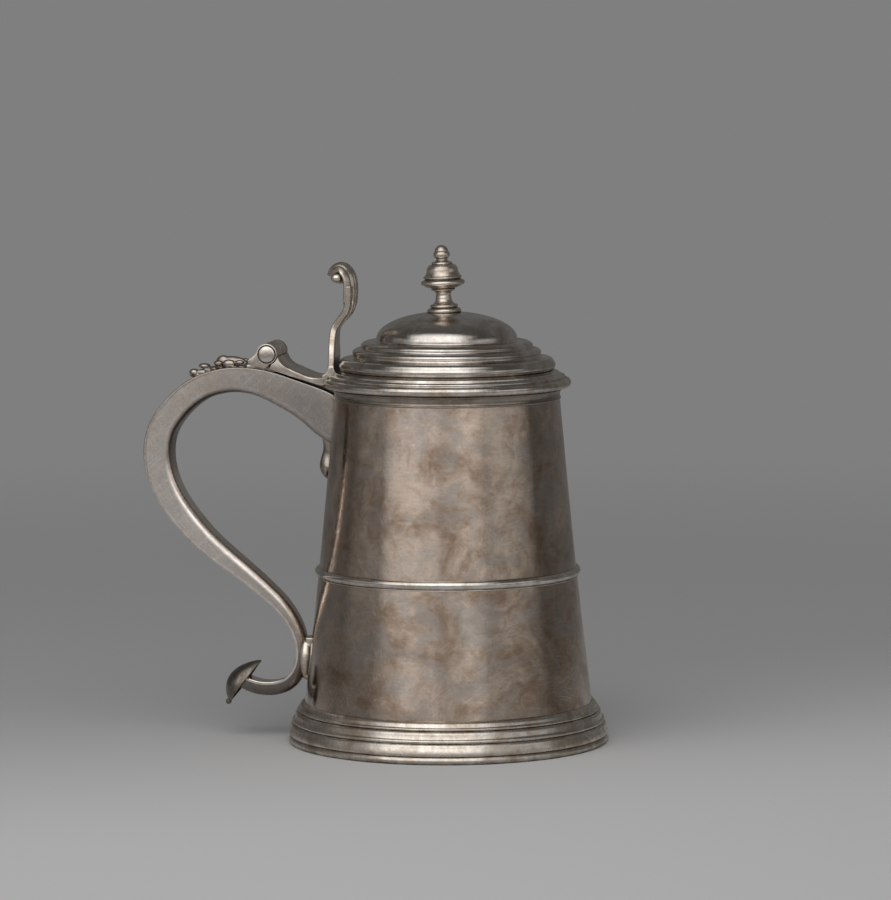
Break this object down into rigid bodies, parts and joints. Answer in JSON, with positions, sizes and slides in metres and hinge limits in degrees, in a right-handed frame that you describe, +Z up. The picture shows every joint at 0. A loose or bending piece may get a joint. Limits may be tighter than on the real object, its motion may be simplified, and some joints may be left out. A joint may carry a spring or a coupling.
{
  "type": "lidded tankard",
  "caption": "Tapering metal tankard with a moulded foot, a mid band, a hollow scroll handle and a stepped, domed lid with a finial that a thumbpiece opens on a hinge.",
  "frame": {"origin": "middle of the footprint on the table, under the middle of the whole part with its handle; the drum's axis stands 31.6 mm along +X from it", "axes": "+Z up, +X away from the handle, Y along the hinge pin"},
  "size_m": [0.2016, 0.1384, 0.2144],
  "materials": {
    "silver_sheet": "hammered and burnished silver sheet, satin, toned brown-grey",
    "silver_moulding": "drawn and turned silver mouldings, satin, darker in the grooves",
    "silver_cast": "cast silver, satin, darker in the hollows",
    "silver_pin": "drawn silver pin with polished ends"
  },
  "bodies": {
    "vessel": {"drum_wall": "silver_sheet", "drum_bottom": "silver_sheet", "foot_ring": "silver_moulding", "foot_moulding": "silver_moulding", "mid_band": "silver_moulding", "rim_moulding": "silver_moulding", "handle_strap": "silver_sheet", "handle_channel": "silver_sheet", "handle_tail": "silver_cast", "handle_strut": "silver_cast", "handle_terminal": "silver_cast", "hinge_drop": "silver_cast", "hinge_plate": "silver_cast", "handle_knuckle_near": "silver_cast", "handle_knuckle_middle": "silver_cast", "handle_knuckle_far": "silver_cast", "hinge_pin": "silver_pin", "pin_cap_near": "silver_pin", "pin_cap_far": "silver_pin"},
    "lid": {"lid_cover": "silver_sheet", "lid_flange": "silver_moulding", "lid_bezel": "silver_sheet", "lid_leaf": "silver_cast", "lid_knuckle_near": "silver_cast", "lid_knuckle_far": "silver_cast", "thumbpiece": "silver_cast", "finial": "silver_cast", "finial_washer": "silver_cast"}
  },
  "joints": [
    {"name": "lid_hinge", "type": "hinge", "parent": "vessel", "child": "lid", "pos_m": [-0.04489, 0, 0.1677], "axis": [0, -1, 0], "range_deg": [0, 140]}
  ]
}
